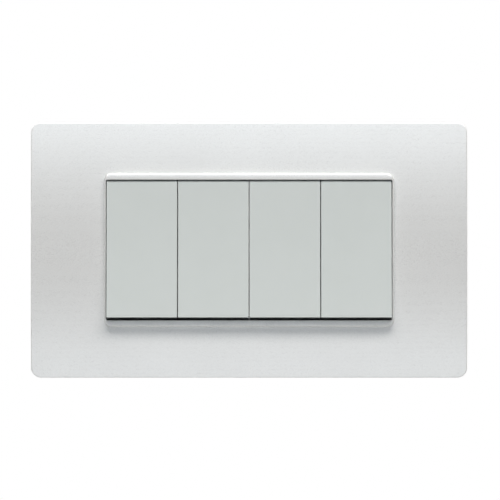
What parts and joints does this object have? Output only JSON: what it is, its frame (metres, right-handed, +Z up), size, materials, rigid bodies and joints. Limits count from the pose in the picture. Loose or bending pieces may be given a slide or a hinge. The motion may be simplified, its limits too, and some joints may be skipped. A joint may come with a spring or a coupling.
{
  "type": "four-gang rocker light switch with cover plate",
  "caption": "Flush wall switch: a crowned rectangular cover plate with a raised collar round a row of plain rocker keys, on a mounting frame with switch modules behind.",
  "frame": {"origin": "middle of the cover plate's rear rim, on the wall's surface", "axes": "+X to the right along the row of keys, +Y into the wall, +Z up"},
  "size_m": [0.1376, 0.0376, 0.0804],
  "materials": {
    "plate": "satin silver-white",
    "key": "smooth pale grey-white",
    "frame": "moulded grey",
    "housing": "moulded pale grey",
    "inner_plastic": "moulded natural",
    "steel": "zinc plated",
    "spring_steel": "drawn wire",
    "copper_alloy": "rolled strip",
    "terminal_brass": "rolled strip"
  },
  "bodies": {
    "switch_body": {"cover_plate": "plate", "mounting_frame": "frame", "box_screws": "steel", "housing_cover_1": "housing", "housing_base_1": "housing", "common_terminal_1": "terminal_brass", "load_terminal_1": "terminal_brass", "common_clamp_1": "spring_steel", "load_clamp_1": "spring_steel", "housing_cover_2": "housing", "housing_base_2": "housing", "common_terminal_2": "terminal_brass", "load_terminal_2": "terminal_brass", "common_clamp_2": "spring_steel", "load_clamp_2": "spring_steel", "housing_cover_3": "housing", "housing_base_3": "housing", "common_terminal_3": "terminal_brass", "load_terminal_3": "terminal_brass", "common_clamp_3": "spring_steel", "load_clamp_3": "spring_steel", "housing_cover_4": "housing", "housing_base_4": "housing", "common_terminal_4": "terminal_brass", "load_terminal_4": "terminal_brass", "common_clamp_4": "spring_steel", "load_clamp_4": "spring_steel"},
    "rocker_1": {"rocker_1": "key", "actuator_1": "inner_plastic", "spring_1": "spring_steel"},
    "plunger_1": {"plunger_1": "inner_plastic"},
    "lever_1": {"contact_lever_1": "copper_alloy"},
    "rocker_2": {"rocker_2": "key", "actuator_2": "inner_plastic", "spring_2": "spring_steel"},
    "plunger_2": {"plunger_2": "inner_plastic"},
    "lever_2": {"contact_lever_2": "copper_alloy"},
    "rocker_3": {"rocker_3": "key", "actuator_3": "inner_plastic", "spring_3": "spring_steel"},
    "plunger_3": {"plunger_3": "inner_plastic"},
    "lever_3": {"contact_lever_3": "copper_alloy"},
    "rocker_4": {"rocker_4": "key", "actuator_4": "inner_plastic", "spring_4": "spring_steel"},
    "plunger_4": {"plunger_4": "inner_plastic"},
    "lever_4": {"contact_lever_4": "copper_alloy"}
  },
  "joints": [
    {"name": "rocker_1_tilt", "type": "hinge", "parent": "switch_body", "child": "rocker_1", "pos_m": [-0.03375, -0.0064, 0], "axis": [1, 0, 0], "range_deg": [0, 9]},
    {"name": "plunger_1_slide", "type": "slide", "parent": "rocker_1", "child": "plunger_1", "axis": [0, -0.9969, 0.0785], "range_m": [0, 0.0006], "stiffness_N_per_m": 200, "springref_m": -0.002, "deforming": ["spring_1"]},
    {"name": "lever_1_tilt", "type": "hinge", "parent": "switch_body", "child": "lever_1", "pos_m": [-0.03375, 0.0105, 0], "axis": [1, 0, 0], "range_deg": [-16, 0]},
    {"name": "rocker_2_tilt", "type": "hinge", "parent": "switch_body", "child": "rocker_2", "pos_m": [-0.01125, -0.0064, 0], "axis": [1, 0, 0], "range_deg": [0, 9]},
    {"name": "plunger_2_slide", "type": "slide", "parent": "rocker_2", "child": "plunger_2", "axis": [0, -0.9969, 0.0785], "range_m": [0, 0.0006], "stiffness_N_per_m": 200, "springref_m": -0.002, "deforming": ["spring_2"]},
    {"name": "lever_2_tilt", "type": "hinge", "parent": "switch_body", "child": "lever_2", "pos_m": [-0.01125, 0.0105, 0], "axis": [1, 0, 0], "range_deg": [-16, 0]},
    {"name": "rocker_3_tilt", "type": "hinge", "parent": "switch_body", "child": "rocker_3", "pos_m": [0.01125, -0.0064, 0], "axis": [1, 0, 0], "range_deg": [0, 9]},
    {"name": "plunger_3_slide", "type": "slide", "parent": "rocker_3", "child": "plunger_3", "axis": [0, -0.9969, 0.0785], "range_m": [0, 0.0006], "stiffness_N_per_m": 200, "springref_m": -0.002, "deforming": ["spring_3"]},
    {"name": "lever_3_tilt", "type": "hinge", "parent": "switch_body", "child": "lever_3", "pos_m": [0.01125, 0.0105, 0], "axis": [1, 0, 0], "range_deg": [-16, 0]},
    {"name": "rocker_4_tilt", "type": "hinge", "parent": "switch_body", "child": "rocker_4", "pos_m": [0.03375, -0.0064, 0], "axis": [1, 0, 0], "range_deg": [0, 9]},
    {"name": "plunger_4_slide", "type": "slide", "parent": "rocker_4", "child": "plunger_4", "axis": [0, -0.9969, 0.0785], "range_m": [0, 0.0006], "stiffness_N_per_m": 200, "springref_m": -0.002, "deforming": ["spring_4"]},
    {"name": "lever_4_tilt", "type": "hinge", "parent": "switch_body", "child": "lever_4", "pos_m": [0.03375, 0.0105, 0], "axis": [1, 0, 0], "range_deg": [-16, 0]}
  ],
  "couplings": [
    {"joint": "lever_1_tilt", "follows": "rocker_1_tilt", "ratio": -1.7777},
    {"joint": "lever_2_tilt", "follows": "rocker_2_tilt", "ratio": -1.7777},
    {"joint": "lever_3_tilt", "follows": "rocker_3_tilt", "ratio": -1.7777},
    {"joint": "lever_4_tilt", "follows": "rocker_4_tilt", "ratio": -1.7777}
  ]
}
